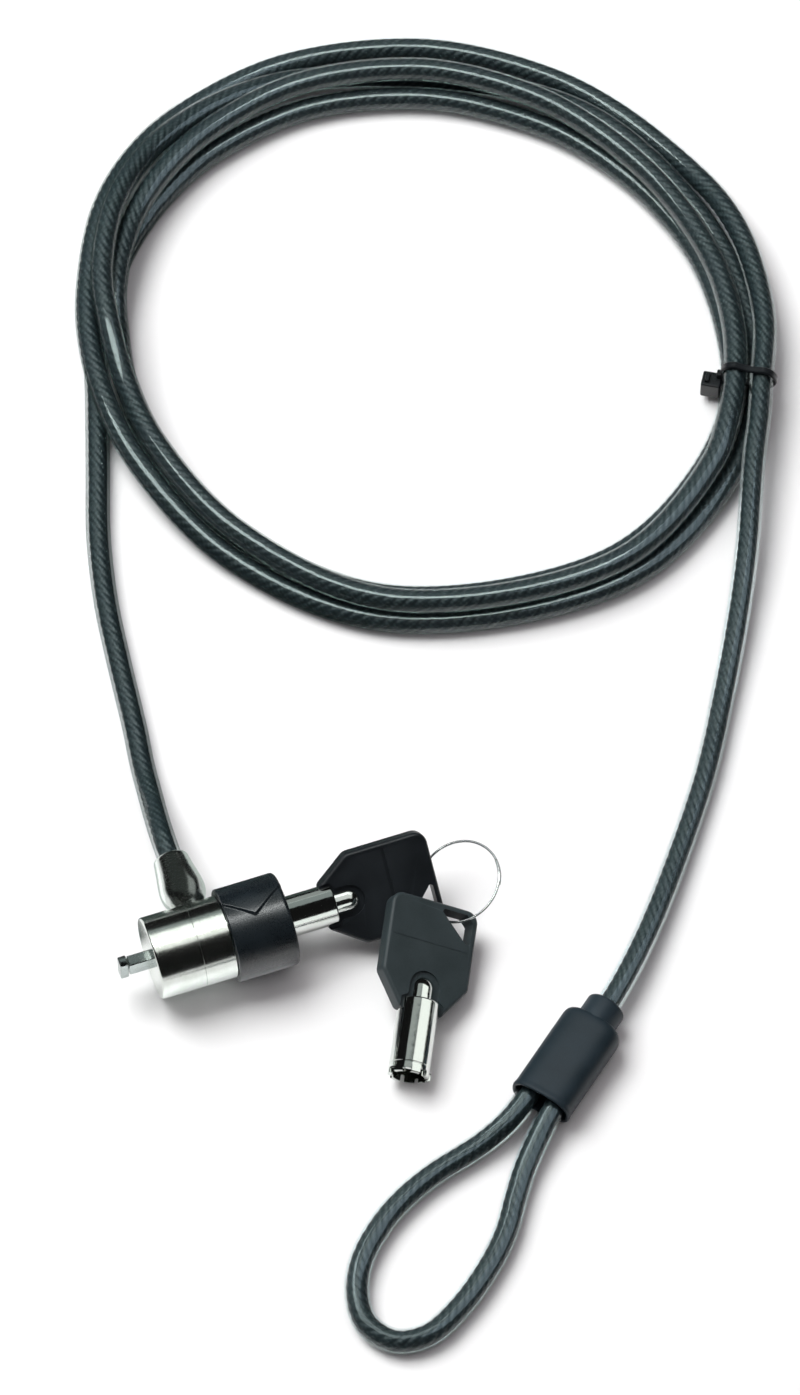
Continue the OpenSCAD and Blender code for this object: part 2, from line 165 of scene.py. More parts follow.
# ------------------------------------------------------------------ materials
class Mat:
    """A small node-tree builder."""

    def __init__(self, name):
        self.m = bpy.data.materials.new(name)
        self.m.use_nodes = True
        self.nt = self.m.node_tree
        self.nt.nodes.clear()
        self.out = self.n("ShaderNodeOutputMaterial")
        self.b = None

    def n(self, kind, **kw):
        node = self.nt.nodes.new(kind)
        for k, v in kw.items():
            setattr(node, k, v)
        return node

    def put(self, node, name, value):
        s = node.inputs[name]
        if isinstance(value, bpy.types.NodeSocket):
            self.nt.links.new(value, s)
        elif isinstance(value, bpy.types.Node):
            self.nt.links.new(value.outputs[0], s)
        else:
            if s.type == "RGBA" and len(value) == 3:
                value = (*value, 1)
            s.default_value = value
        return node

    def principled(self, **kw):
        self.b = self.n("ShaderNodeBsdfPrincipled")
        names = {"base": "Base Color", "rough": "Roughness", "metal": "Metallic", "ior": "IOR",
                 "coat": "Coat Weight", "coat_rough": "Coat Roughness", "spec": "Specular IOR Level",
                 "sheen": "Sheen Weight", "sheen_rough": "Sheen Roughness", "normal": "Normal",
                 "aniso": "Anisotropic", "aniso_rot": "Anisotropic Rotation", "tangent": "Tangent",
                 "coat_normal": "Coat Normal", "coat_ior": "Coat IOR"}
        for k, v in kw.items():
            self.put(self.b, names[k], v)
        self.nt.links.new(self.b.outputs[0], self.out.inputs[0])
        return self.b

    def coords(self, scale=1000.0, kind="Object"):
        tc = self.n("ShaderNodeTexCoord")
        vm = self.n("ShaderNodeVectorMath", operation="MULTIPLY")
        self.nt.links.new(tc.outputs[kind], vm.inputs[0])
        vm.inputs[1].default_value = (scale, scale, scale) if not hasattr(scale, "__len__") else scale
        return vm.outputs[0]

    def uv(self, scale=(1, 1, 1), name="flow"):
        um = self.n("ShaderNodeUVMap", uv_map=name)
        vm = self.n("ShaderNodeVectorMath", operation="MULTIPLY")
        self.nt.links.new(um.outputs[0], vm.inputs[0])
        vm.inputs[1].default_value = scale
        return vm.outputs[0]

    def scaled(self, vec, scale):
        vm = self.n("ShaderNodeVectorMath", operation="MULTIPLY")
        self.nt.links.new(vec, vm.inputs[0])
        vm.inputs[1].default_value = scale
        return vm.outputs[0]

    def noise(self, vec, scale=1.0, detail=3.0, rough=0.5, dist=0.0, dims="3D"):
        t = self.n("ShaderNodeTexNoise", noise_dimensions=dims)
        self.nt.links.new(vec, t.inputs["Vector"])
        t.inputs["Scale"].default_value = scale
        t.inputs["Detail"].default_value = detail
        t.inputs["Roughness"].default_value = rough
        t.inputs["Distortion"].default_value = dist
        return t.outputs[0]

    def math(self, op, a, b=None, c=None, clamp=False):
        t = self.n("ShaderNodeMath", operation=op, use_clamp=clamp)
        for i, v in enumerate((a, b, c)):
            if v is None:
                continue
            if isinstance(v, bpy.types.NodeSocket):
                self.nt.links.new(v, t.inputs[i])
            else:
                t.inputs[i].default_value = v
        return t.outputs[0]

    def remap(self, v, a, b, c, d):
        t = self.n("ShaderNodeMapRange")
        self.nt.links.new(v, t.inputs[0])
        for i, x in enumerate((a, b, c, d)):
            t.inputs[i + 1].default_value = x
        return t.outputs[0]

    def ramp(self, v, stops):
        t = self.n("ShaderNodeValToRGB")
        self.nt.links.new(v, t.inputs[0])
        e = t.color_ramp.elements
        while len(e) < len(stops):
            e.new(0.5)
        for x, (p, c) in zip(e, stops):
            x.position = p
            x.color = (*c, 1)
        return t.outputs[0]

    def mix(self, fac, a, b):
        t = self.n("ShaderNodeMix", data_type="RGBA")
        for i, v in ((0, fac), (6, a), (7, b)):
            if isinstance(v, bpy.types.NodeSocket):
                self.nt.links.new(v, t.inputs[i])
            elif i == 0:
                t.inputs[i].default_value = v
            else:
                t.inputs[i].default_value = (*v, 1)
        return t.outputs[2]

    def split(self, vec):
        t = self.n("ShaderNodeSeparateXYZ")
        self.nt.links.new(vec, t.inputs[0])
        return t.outputs

    def bump(self, height, dist=0.05, strength=1.0, normal=None):
        t = self.n("ShaderNodeBump")
        t.inputs["Strength"].default_value = strength
        t.inputs["Distance"].default_value = dist * MM
        self.nt.links.new(height, t.inputs["Height"])
        if normal is not None:
            self.nt.links.new(normal, t.inputs["Normal"])
        return t.outputs[0]

    def edge_wear(self, amount_lo=0.55, amount_hi=0.62):
        g = self.n("ShaderNodeNewGeometry")
        return self.remap(g.outputs["Pointiness"], amount_lo, amount_hi, 0, 1)


def satin_nickel(name, base, rough=0.2, lines=1.0, kind="uv"):
    """Nickel plate over a lathe-turned part: fine rings round the axis, faint stains."""
    m = Mat(name)
    p = m.coords()
    if kind == "uv":
        flow = m.uv((1, 1, 1))
        u, v, _ = m.split(flow)           # u: mm round, v: mm along the profile
    else:
        v, u, _ = m.split(p)
    comb = m.n("ShaderNodeCombineXYZ")
    m.nt.links.new(m.math("MULTIPLY", v, 9.0), comb.inputs[0])
    m.nt.links.new(m.math("MULTIPLY", u, 0.10), comb.inputs[1])
    rings = m.noise(comb.outputs[0], 1.0, 4, 0.6)
    comb2 = m.n("ShaderNodeCombineXYZ")
    m.nt.links.new(m.math("MULTIPLY", v, 3.0), comb2.inputs[0])
    m.nt.links.new(m.math("MULTIPLY", u, 0.5), comb2.inputs[1])
    broad = m.noise(comb2.outputs[0], 1.0, 2, 0.5)
    stain = m.noise(p, 0.35, 3, 0.55)
    spots = m.noise(p, 6.0, 2, 0.6)
    col = m.mix(m.remap(stain, 0.35, 0.7, 0.0, 1.0), tuple(c * 1.02 for c in base),
                tuple(c * k for c, k in zip(base, (0.9, 0.92, 0.89))))
    col = m.mix(m.remap(rings, 0.3, 0.75, 0.0, 0.25), col, tuple(c * 0.72 for c in base))
    r = m.math("ADD", m.remap(rings, 0.25, 0.8, rough * 0.75, rough * 1.35),
               m.remap(spots, 0.45, 0.75, 0.0, 0.05))
    bump = m.bump(rings, 0.016 * lines, 0.9)
    bump = m.bump(broad, 0.045 * lines, 0.5, bump)
    m.principled(base=col, metal=1.0, rough=r, normal=bump)
    return m.m


def polished(name, base, rough=0.08):
    """Bright nickel plate with faint drawing marks and a little waviness."""
    m = Mat(name)
    p = m.coords()
    wav = m.noise(p, 0.6, 2, 0.5)
    fine = m.noise(m.scaled(p, (1, 1, 1)), 7.0, 3, 0.6)
    scratch = m.noise(m.scaled(p, (0.6, 9.0, 9.0)), 1.2, 3, 0.6)
    col = m.mix(m.remap(fine, 0.4, 0.7, 0, 0.35), base, tuple(c * 0.86 for c in base))
    r = m.remap(scratch, 0.35, 0.75, rough * 0.7, rough * 1.9)
    bump = m.bump(wav, 0.05, 0.35)
    bump = m.bump(fine, 0.004, 0.6, bump)
    m.principled(base=col, metal=1.0, rough=r, normal=bump)
    return m.m


def moulded(name, dark, light, rough=0.42, grain=0.012, scale=5.0, spec=0.5, wear=0.5):
    """Moulded black plastic: fine spark-eroded grain, flow clouding, slightly rubbed edges."""
    m = Mat(name)
    p = m.coords()
    g1 = m.noise(p, scale, 3, 0.65)
    g2 = m.noise(p, scale * 3.1, 2, 0.6)
    cloud = m.noise(p, 0.16, 3, 0.5)
    col = m.mix(m.remap(cloud, 0.35, 0.68, 0, 1), dark, light)
    col = m.mix(m.remap(g1, 0.42, 0.72, 0, 0.35), col, tuple(min(1, c * 1.5 + 0.004) for c in light))
    if wear:
        w = m.edge_wear(0.53, 0.60)
        col = m.mix(m.math("MULTIPLY", w, wear * 0.5), col, tuple(c * 2.2 + 0.01 for c in light))
    r = m.math("ADD", m.remap(g1, 0.3, 0.75, rough - 0.05, rough + 0.10),
               m.remap(cloud, 0.3, 0.7, -0.03, 0.04))
    bump = m.bump(g1, grain, 0.7)
    bump = m.bump(g2, grain * 0.5, 0.6, bump)
    m.principled(base=col, rough=r, normal=bump, spec=spec)
    return m.m


def brass(name, base=(0.72, 0.52, 0.22), rough=0.24):
    m = Mat(name)
    p = m.coords()
    rings = m.noise(m.scaled(p, (8.0, 0.25, 0.25)), 1.0, 3, 0.6)
    tone = m.noise(p, 0.5, 3, 0.55)
    col = m.mix(m.remap(tone, 0.35, 0.7, 0, 1), base, tuple(c * k for c, k in zip(base, (0.82, 0.74, 0.62))))
    r = m.remap(rings, 0.3, 0.75, rough * 0.8, rough * 1.5)
    m.principled(base=col, metal=1.0, rough=r, normal=m.bump(rings, 0.012, 0.8))
    return m.m


def steel(name, base=(0.55, 0.56, 0.56), rough=0.26, grain=(1.0, 1.0, 7.0)):
    m = Mat(name)
    p = m.coords()
    g = m.noise(m.scaled(p, grain), 1.4, 4, 0.6)
    tone = m.noise(p, 0.8, 3, 0.55)
    col = m.mix(m.remap(tone, 0.35, 0.7, 0, 1), base, tuple(c * 0.8 for c in base))
    w = m.edge_wear(0.52, 0.58)
    col = m.mix(m.math("MULTIPLY", w, 0.5), col, tuple(min(1, c * 1.35) for c in base))
    r = m.remap(g, 0.3, 0.75, rough * 0.75, rough * 1.5)
    m.principled(base=col, metal=1.0, rough=r, normal=m.bump(g, 0.010, 0.8))
    return m.m


def pressed_aluminium(name):
    m = Mat(name)
    p = m.coords()
    g = m.noise(p, 3.0, 4, 0.6)
    dents = m.noise(p, 0.7, 2, 0.5)
    col = m.mix(m.remap(g, 0.35, 0.7, 0, 1), (0.62, 0.63, 0.65), (0.45, 0.46, 0.48))
    bump = m.bump(dents, 0.12, 0.6)
    bump = m.bump(g, 0.02, 0.6, bump)
    m.principled(base=col, metal=1.0, rough=m.remap(g, 0.3, 0.7, 0.28, 0.45), normal=bump)
    return m.m


def rope_material():
    """Galvanised wire rope seen through the jacket: strands, and wires within each strand."""
    m = Mat("wire_rope")
    p = m.coords()
    flow = m.uv((1, 1, 1))
    a, s, _ = m.split(flow)                       # a: turns round, s: mm along
    strand = m.math("MULTIPLY", m.math("ADD", a, m.math("MULTIPLY", s, 1 / STRAND_PITCH)), float(STRANDS))
    inside = m.math("SUBTRACT", strand, m.math("FLOOR", strand))   # 0..1 across a strand
    hill = m.math("SINE", m.math("MULTIPLY", inside, math.pi))
    # wires run the other way across the strands, and a second, finer lay crosses them
    wob = m.noise(p, 0.5, 2, 0.5)
    wire = m.math("ADD", m.math("SUBTRACT", m.math("MULTIPLY", a, 12.0), m.math("MULTIPLY", s, 1 / 1.55)),
                  m.math("MULTIPLY", wob, 1.1))
    cross = m.math("ADD", m.math("ADD", m.math("MULTIPLY", a, 9.0), m.math("MULTIPLY", s, 1 / 1.9)),
                   m.math("MULTIPLY", wob, -0.8))
    crown = m.math("MULTIPLY", m.math("PINGPONG", wire, 0.5), 2.0, clamp=True)
    over = m.math("MULTIPLY", m.math("PINGPONG", cross, 0.5), 2.0, clamp=True)
    fine = m.math("PINGPONG", m.math("ADD", m.math("MULTIPLY", a, 40.0), m.math("MULTIPLY", s, 1 / 0.62)), 0.5)
    patch = m.noise(p, 0.22, 3, 0.55)
    fleck = m.noise(p, 2.4, 3, 0.62)
    height = m.math("MULTIPLY", m.math("MULTIPLY", m.remap(crown, 0.0, 1.0, 0.35, 1.0),
                                       m.remap(over, 0.0, 1.0, 0.40, 1.0)), m.remap(hill, 0.0, 1.0, 0.40, 1.0))
    tone = m.math("MULTIPLY", m.math("ADD", height, m.math("MULTIPLY", fine, 0.20)),
                  m.remap(fleck, 0.32, 0.72, 0.45, 1.25))
    # painted shade and highlight: the rope's colour is darker in the grooves between strands and wires and lighter on
    # their crowns
    dark, mid, crown_highlight = (0.009, 0.016, 0.018), (0.030, 0.047, 0.050), (0.082, 0.112, 0.116)
    col = m.ramp(tone, [(0.0, dark), (0.40, mid), (1.0, crown_highlight)])
    col = m.mix(m.remap(patch, 0.38, 0.66, 0.0, 0.5), col, (0.022, 0.034, 0.042))
    bump = m.bump(height, 0.08, 0.7)
    bump = m.bump(fine, 0.02, 0.5, bump)
    m.principled(base=col, metal=0.2, rough=m.remap(fleck, 0.3, 0.7, 0.34, 0.52), normal=bump, spec=0.5)
    return m.m


def jacket_material():
    """Clear PVC: see-through with a smoky tint, and a gloss that follows Fresnel."""
    m = Mat("clear_jacket")
    p = m.coords()
    haze = m.noise(p, 0.10, 3, 0.5)
    fine = m.noise(p, 1.6, 3, 0.55)
    drag = m.noise(m.uv((0.8, 0.05, 1)), 1.0, 3, 0.5)
    tint = m.mix(m.remap(haze, 0.3, 0.7, 0, 1), (0.955, 0.985, 0.985), (0.975, 0.995, 0.995))
    bump = m.bump(drag, 0.008, 0.5)
    bump = m.bump(fine, 0.002, 0.5, bump)
    clear = m.n("ShaderNodeBsdfTransparent")
    m.put(clear, "Color", tint)
    gloss = m.n("ShaderNodeBsdfGlossy")
    gloss.inputs["Color"].default_value = (0.95, 1.0, 0.99, 1)
    m.put(gloss, "Roughness", m.remap(fine, 0.3, 0.7, 0.10, 0.17))
    m.put(gloss, "Normal", bump)
    fres = m.n("ShaderNodeFresnel")
    fres.inputs["IOR"].default_value = 1.5
    m.put(fres, "Normal", bump)
    mix = m.n("ShaderNodeMixShader")
    m.nt.links.new(m.math("MINIMUM", fres.outputs[0], 0.42), mix.inputs[0])
    m.nt.links.new(clear.outputs[0], mix.inputs[1])
    m.nt.links.new(gloss.outputs[0], mix.inputs[2])
    m.nt.links.new(mix.outputs[0], m.out.inputs[0])
    return m.m


def floor_material():
    """Pale and plain. In glossy rays only, a patch behind the head is painted dark (a painted dark reflection) and a
    patch before it glows (a painted bright reflection).
    """
    m = Mat("studio_floor")
    p = m.coords(1.0)
    n = m.noise(p, 3.0, 2, 0.5)
    col = m.mix(m.remap(n, 0.4, 0.6, 0, 1), (0.93, 0.93, 0.935), (0.935, 0.935, 0.938))
    x, y, z = m.split(p)
    ray = m.n("ShaderNodeLightPath").outputs["Is Glossy Ray"]

    def patch(x0, x1, y0, y1, soft_x, soft_y):
        across = m.math("MULTIPLY", m.remap(x, x0, x0 + 0.003, 0, 1), m.remap(x, x1 - soft_x, x1, 1, 0))
        along = m.math("MULTIPLY", m.remap(y, y0, y0 + soft_y, 0, 1), m.remap(y, y1 - 0.006, y1, 1, 0))
        return m.math("MULTIPLY", m.math("MULTIPLY", across, along), ray)

    # painted dark reflection: this patch of floor is dark only in glossy rays
    col = m.mix(patch(-0.040, 0.048, 0.025, 0.60, 0.02, 0.003), col, (0.04, 0.055, 0.05))
    m.principled(base=col, rough=0.55, spec=0.25)
    # painted bright reflection: this patch of floor glows only in glossy rays
    m.put(m.b, "Emission Color", (0.95, 0.99, 1.0))
    m.put(m.b, "Emission Strength", m.math("MULTIPLY", patch(-0.044, -0.004, -0.016, 0.014, 0.003, 0.018), 0.5))
    return m.m


# ------------------------------------------------------------------ mesh tools
def build(name, verts, faces, matrix=None, mats=(), uv=None, smooth=True, sharp=None):
    """A mesh object from local mm points, moved to the row frame by matrix."""
    me = bpy.data.meshes.new(name)
    V = np.asarray(verts, float).reshape(-1, 3)
    if matrix is not None:
        A = np.array(matrix, float)
        V = V @ A[:3, :3].T + A[:3, 3]
    if isinstance(faces, np.ndarray):
        k = faces.shape[1]
        me.vertices.add(len(V))
        me.vertices.foreach_set("co", V.astype(np.float32).ravel())
        me.loops.add(faces.size)
        me.loops.foreach_set("vertex_index", faces.astype(np.int32).ravel())
        me.polygons.add(len(faces))
        me.polygons.foreach_set("loop_start", np.arange(0, faces.size, k, dtype=np.int32))
        me.update(calc_edges=True)
        me.validate()
    else:
        me.from_pydata([tuple(v) for v in V], [], faces)
        me.update()
    if uv is not None:
        layer = me.uv_layers.new(name="flow")
        idx = np.zeros(len(me.loops), np.int32)
        me.loops.foreach_get("vertex_index", idx)
        if len(uv) == len(V):
            layer.data.foreach_set("uv", np.asarray(uv, np.float32)[idx].ravel())
        else:
            layer.data.foreach_set("uv", np.asarray(uv, np.float32).ravel())
    for m in mats:
        me.materials.append(m)
    if smooth:
        me.polygons.foreach_set("use_smooth", [True] * len(me.polygons))
    if sharp:
        me.set_sharp_from_angle(angle=R(sharp))
    o = bpy.data.objects.new(name, me)
    bpy.context.scene.collection.objects.link(o)
    return o


def rounded(profile, seg=5):
    """A closed outline of (a, b, radius) corners with each corner rounded."""
    out = []
    n = len(profile)
    for i in range(n):
        p = np.array(profile[i][:2], float)
        rad = profile[i][2] if len(profile[i]) > 2 else 0.0
        a = np.array(profile[i - 1][:2], float) - p
        b = np.array(profile[(i + 1) % n][:2], float) - p
        la, lb = np.linalg.norm(a), np.linalg.norm(b)
        if rad <= 0 or la < 1e-9 or lb < 1e-9:
            out.append(tuple(p))
            continue
        a, b = a / la, b / lb
        ang = math.acos(max(-1, min(1, float(a @ b))))
        if ang > math.pi - 0.02:
            out.append(tuple(p))
            continue
        t = min(rad / math.tan(ang / 2), la * 0.48, lb * 0.48)
        rad = t * math.tan(ang / 2)
        bis = (a + b) / np.linalg.norm(a + b)
        c = p + bis * (rad / math.sin(ang / 2))
        s, e = p + a * t - c, p + b * t - c
        tot = math.pi - ang
        for k in range(seg + 1):
            f = k / seg
            w = (math.sin((1 - f) * tot) * s + math.sin(f * tot) * e) / math.sin(tot)
            out.append(tuple(c + w))
    return out


def revolve(name, profile, matrix, mats, n=160, fine=None, axis="X", bump=None):
    """A closed outline of (radius, along) turned about local X (or Y)."""
    pts = []
    P = [np.array(p, float) for p in profile]
    for i, p in enumerate(P):
        q = P[(i + 1) % len(P)]
        L = np.linalg.norm(q - p)
        k = 1 if not fine else max(1, int(math.ceil(L / fine)))
        for j in range(k):
            pts.append(p + (q - p) * j / k)
    pts = np.array(pts)
    m = len(pts)
    run = np.concatenate([[0], np.cumsum(np.linalg.norm(np.diff(np.vstack([pts, pts[:1]]), axis=0), axis=1))])
    on_axis = pts[:, 0] < 1e-6
    verts, index = [], np.zeros((n, m), int)
    for i in range(m):
        if on_axis[i]:
            index[:, i] = len(verts)
            verts.append((pts[i, 1], 0, 0))
        else:
            for k in range(n):
                t = 2 * math.pi * k / n
                r, x = pts[i, 0], pts[i, 1]
                if bump:
                    r = bump(r, x, t)
                index[k, i] = len(verts)
                verts.append((x, r * math.cos(t), r * math.sin(t)))
    faces, uv = [], []
    rad = pts[:, 0].max()
    for k in range(n):
        k2 = (k + 1) % n
        for i in range(m):
            j = (i + 1) % m
            q = [index[k, i], index[k, j], index[k2, j], index[k2, i]]
            uu = [(k / n, run[i]), (k / n, run[i + 1]), ((k + 1) / n, run[i + 1]), ((k + 1) / n, run[i])]
            f, w = [], []
            for v, c in zip(q, uu):
                if v not in f:
                    f.append(v)
                    w.append((c[0] * 2 * math.pi * rad, c[1]))
            if len(f) >= 3:
                faces.append(f)
                uv += w
    V = np.array(verts)
    if axis == "Y":
        V = V[:, [1, 0, 2]] * np.array([-1, 1, 1])
    o = build(name, V, faces, matrix, mats, sharp=38)
    fix_normals(o)
    me = o.data
    layer = me.uv_layers.new(name="flow")
    # the loops may be flipped by fix_normals, so the map is set per vertex of each face
    i = 0
    lookup = [dict(zip(f, uv[st:st + len(f)])) for f, st in zip(faces, np.cumsum([0] + [len(f) for f in faces[:-1]]))]
    for poly, d in zip(me.polygons, lookup):
        for li in poly.loop_indices:
            layer.data[li].uv = d[me.loops[li].vertex_index]
    return o


def fix_normals(o):
    bm = bmesh.new()
    bm.from_mesh(o.data)
    bmesh.ops.recalc_face_normals(bm, faces=bm.faces)
    bm.to_mesh(o.data)
    bm.free()
    o.data.update()


def apply_all(o):
    """Turns the object's modifiers into its mesh."""
    dg = bpy.context.evaluated_depsgraph_get()
    dg.update()
    me = bpy.data.meshes.new_from_object(o.evaluated_get(dg), preserve_all_data_layers=True, depsgraph=dg)
    old = o.data
    o.modifiers.clear()
    o.data = me
    me.name = old.name
    if old.users == 0:
        bpy.data.meshes.remove(old)
    return o


def cut(o, *cutters, op="DIFFERENCE", keep=False):
    for c in cutters:
        md = o.modifiers.new("cut", "BOOLEAN")
        md.operation = op
        md.solver = "EXACT"
        md.object = c
    bpy.context.view_layer.update()
    apply_all(o)
    if not keep:
        for c in cutters:
            me = c.data
            bpy.data.objects.remove(c)
            bpy.data.meshes.remove(me)
    return o


def bevel(o, width, seg=3, angle=32):
    """width in the object's own units; meshes here are in metres already."""
    md = o.modifiers.new("edge", "BEVEL")
    md.width = width
    md.segments = seg
    md.limit_method = "ANGLE"
    md.angle_limit = R(angle)
    md.harden_normals = False
    md.use_clamp_overlap = True
    bpy.context.view_layer.update()
    apply_all(o)
    o.data.set_sharp_from_angle(angle=R(40))
    return o


def prism(name, outline, z0, z1, matrix, mats=()):
    """A straight extrusion of a 2D outline."""
    n = len(outline)
    V = [(x, y, z0) for x, y in outline] + [(x, y, z1) for x, y in outline]
    F = [list(range(n))[::-1], list(range(n, 2 * n))] + [
        [i, (i + 1) % n, n + (i + 1) % n, n + i] for i in range(n)]
    o = build(name, V, F, matrix, mats, smooth=False)
    fix_normals(o)
    return o


def block(name, lo, hi, matrix, mats=(), edge=0.0, seg=3):
    o = prism(name, [(lo[0], lo[1]), (hi[0], lo[1]), (hi[0], hi[1]), (lo[0], hi[1])], lo[2], hi[2], matrix, mats)
    if edge:
        bevel(o, edge * MM, seg)
        o.data.polygons.foreach_set("use_smooth", [True] * len(o.data.polygons))
    return o


def tube_frames(path):
    """Tangent, side and up for each point, carried along without twist."""
    P = np.asarray(path, float)
    T = np.gradient(P, axis=0)
    T /= np.linalg.norm(T, axis=1)[:, None]
    N = np.zeros_like(P)
    n = np.cross((0, 0, 1.0), T[0])
    n /= np.linalg.norm(n)
    N[0] = n
    for i in range(1, len(P)):
        n = N[i - 1] - T[i] * (N[i - 1] @ T[i])
        N[i] = n / np.linalg.norm(n)
    return P, T, N, np.cross(T, N)


def sweep(name, path, radius, sides, mats, turns_per_mm=0.0, shape=None, matrix=PLACE, caps=True, taper=0.0,
          widths=None):
    """A closed tube along path, in mm. shape(k) scales the radius of side k. The section turns with turns_per_mm."""
    P, T, N, B = tube_frames(path)
    s = np.concatenate([[0], np.cumsum(np.linalg.norm(np.diff(P, axis=0), axis=1))])
    m = len(P)
    k = np.arange(sides)
    base = 2 * math.pi * k / sides
    rad = np.array([radius * (shape(j) if shape else 1.0) for j in k])
    ang = base[None, :] - 2 * math.pi * turns_per_mm * s[:, None]
    scale = np.ones(m)
    if taper:
        d = np.minimum(s, s[-1] - s)
        scale = np.clip(0.35 + 0.65 * np.sqrt(np.clip(d / taper, 0, 1)), 0, 1)
    if widths is not None:
        scale = scale * widths(s)
    rr = rad[None, :] * scale[:, None]
    V = P[:, None, :] + rr[..., None] * (np.cos(ang)[..., None] * N[:, None, :] + np.sin(ang)[..., None] * B[:, None, :])
    V = V.reshape(-1, 3)
    i = np.arange(m - 1)[:, None]
    j = k[None, :]
    j2 = (j + 1) % sides
    quads = np.stack([i * sides + j, i * sides + j2, (i + 1) * sides + j2, (i + 1) * sides + j], -1).reshape(-1, 4)
    uv = np.zeros((m - 1, sides, 4, 2))
    u0 = (k / sides)[None, :] - turns_per_mm * s[:-1, None]
    u1 = (k / sides)[None, :] - turns_per_mm * s[1:, None]
    du = 1 / sides
    uv[..., 0, 0], uv[..., 1, 0] = u0, u0 + du
    uv[..., 2, 0], uv[..., 3, 0] = u1 + du, u1
    uv[..., 0, 1] = uv[..., 1, 1] = s[:-1, None]
    uv[..., 2, 1] = uv[..., 3, 1] = s[1:, None]
    uv = uv.reshape(-1, 2)
    if caps:
        c0, c1 = len(V), len(V) + 1
        V = np.vstack([V, P[0], P[-1]])
        e0 = np.stack([np.full(sides, c0), (k + 1) % sides, k], -1)
        e1 = np.stack([np.full(sides, c1), (m - 1) * sides + k, (m - 1) * sides + (k + 1) % sides], -1)
        faces = [tuple(q) for q in quads] + [tuple(q) for q in e0] + [tuple(q) for q in e1]
        uv = np.vstack([uv, np.zeros((6 * sides, 2))])
    else:
        faces = quads
    return build(name, V, faces, matrix, mats, uv=uv)


# ------------------------------------------------------------------ lights and floor
def add_world(level, tint=(1, 1, 1)):
    w = bpy.data.worlds.new("studio")
    bpy.context.scene.world = w
    w.use_nodes = True
    bg = w.node_tree.nodes["Background"]
    bg.inputs[0].default_value = (*tint, 1)
    bg.inputs[1].default_value = level
    return w


# ------------------------------------------------------------------ the pieces
STRANDS = 7
STRAND_PITCH = 17.0
PINS = 7
PIN_PCR = 4.1
CUT_DEPTH = (0.6, 1.2, 0.3, 0.9, 1.4, 0.5, 1.0)
ALONG_X = Matrix(((0, 0, 1, 0), (1, 0, 0, 0), (0, 1, 0, 0), (0, 0, 0, 1)))   # extrudes along local x


def stands_for(o, body, slot, *nodes):
    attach(o, body)
    if nodes:
        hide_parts(*nodes)
    return o


def finish_node(name, mat):
    """A CAD node that keeps its own shape gets its material."""
    o = NODES[name]
    if len(o.material_slots) == 0:
        o.data.materials.append(mat)
    for s in o.material_slots:
        s.material = mat


def tidy(o, sharp=38):
    """Smooth shading that keeps flat faces flat."""
    me = o.data
    me.polygons.foreach_set("use_smooth", [True] * len(me.polygons))
    me.set_sharp_from_angle(angle=R(sharp))
    md = o.modifiers.new("shade", "WEIGHTED_NORMAL")
    md.keep_sharp = True
    bpy.context.view_layer.update()
    return apply_all(o)


def rod(name, r, x0, x1, matrix, mats=(), n=48, dome=0.0):
    """A round bar along local x, with its far end rounded by dome."""
    prof = [(0, x0), (r, x0), (r, x1 - dome)]
    if dome:
        prof += [(r - dome + dome * math.cos(R(a)), x1 - dome + dome * math.sin(R(a))) for a in (22.5, 45, 67.5, 90)]
    prof.append((0, x1))
    return revolve(name, prof, matrix, mats, n=n)


def loft(name, loops, matrix, mats, cap0=True, cap1=True, sharp=38, uv=False):
    """Joins closed loops with equal point counts."""
    n = len(loops[0])
    V = [v for L in loops for v in L]
    F = []
    for i in range(len(loops) - 1):
        for k in range(n):
            k2 = (k + 1) % n
            F.append([i * n + k, i * n + k2, (i + 1) * n + k2, (i + 1) * n + k])
    if cap0:
        F.append(list(range(n))[::-1])
    if cap1:
        F.append([(len(loops) - 1) * n + k for k in range(n)])
    o = build(name, V, F, matrix, mats, sharp=sharp)
    fix_normals(o)
    return o


# ---- lock head
def make_drum(nickel):
    prof = rounded([(0, 0), (9, 0, 0.5), (9, 9.84, 0.06), (7.9, 9.84), (7.9, 28.5), (6.4, 28.5), (6.4, 2), (0, 2)], 5)
    o = revolve("barrel_drum", prof, HEAD, [nickel], n=192)
    cut(o, block("c", (-1, -1.36, -2.12), (3, 1.36, 2.12), HEAD))
    tidy(o)
    return stands_for(o, "lock_housing", "nickel", "front_barrel")


def make_band(nickel):
    prof = rounded([(7.95, 9.88, 0.1), (9, 9.88, 0.06), (9, 16.9, 0.2), (7.95, 16.9, 0.1)], 5)
    o = tidy(revolve("swivel_band_ring", prof, HEAD, [nickel], n=192))
    return stands_for(o, "root", "nickel_band", "swivel_band")


def make_ferrule(chrome):
    bell, _ = smooth_line([(3.0, 4.6, 0), (3.1, 7.0, 0), (3.35, 8.8, 0), (4.1, 10.2, 0), (4.75, 11.7, 0),
                           (5.0, 13.4, 0), (4.75, 15.8, 0), (4.3, 18.4, 0), (3.95, 20.6, 0)], 0.35)
    prof = [(0, 4.6)] + [(q[0], q[1]) for q in bell]
    prof += [(3.9, 21.1), (3.8, 21.45), (3.6, 21.7), (3.35, 21.84), (3.1, 21.9), (2.9, 21.8), (2.78, 21.5),
             (2.78, 12.4), (0, 12.4)]
    o = revolve("ferrule_bell", prof, HEAD @ Matrix.Translation((11.6, 0, 0)), [chrome], n=144, axis="Y")
    cut(o, rod("c1", 9.0, 9.86, 24, HEAD, n=192), rod("c2", 9.25, -2, 9.86, HEAD, n=192))
    bevel(o, 0.12 * MM, 2, 50)
    tidy(o)
    return stands_for(o, "root", "ferrule_chrome", "cable_ferrule")


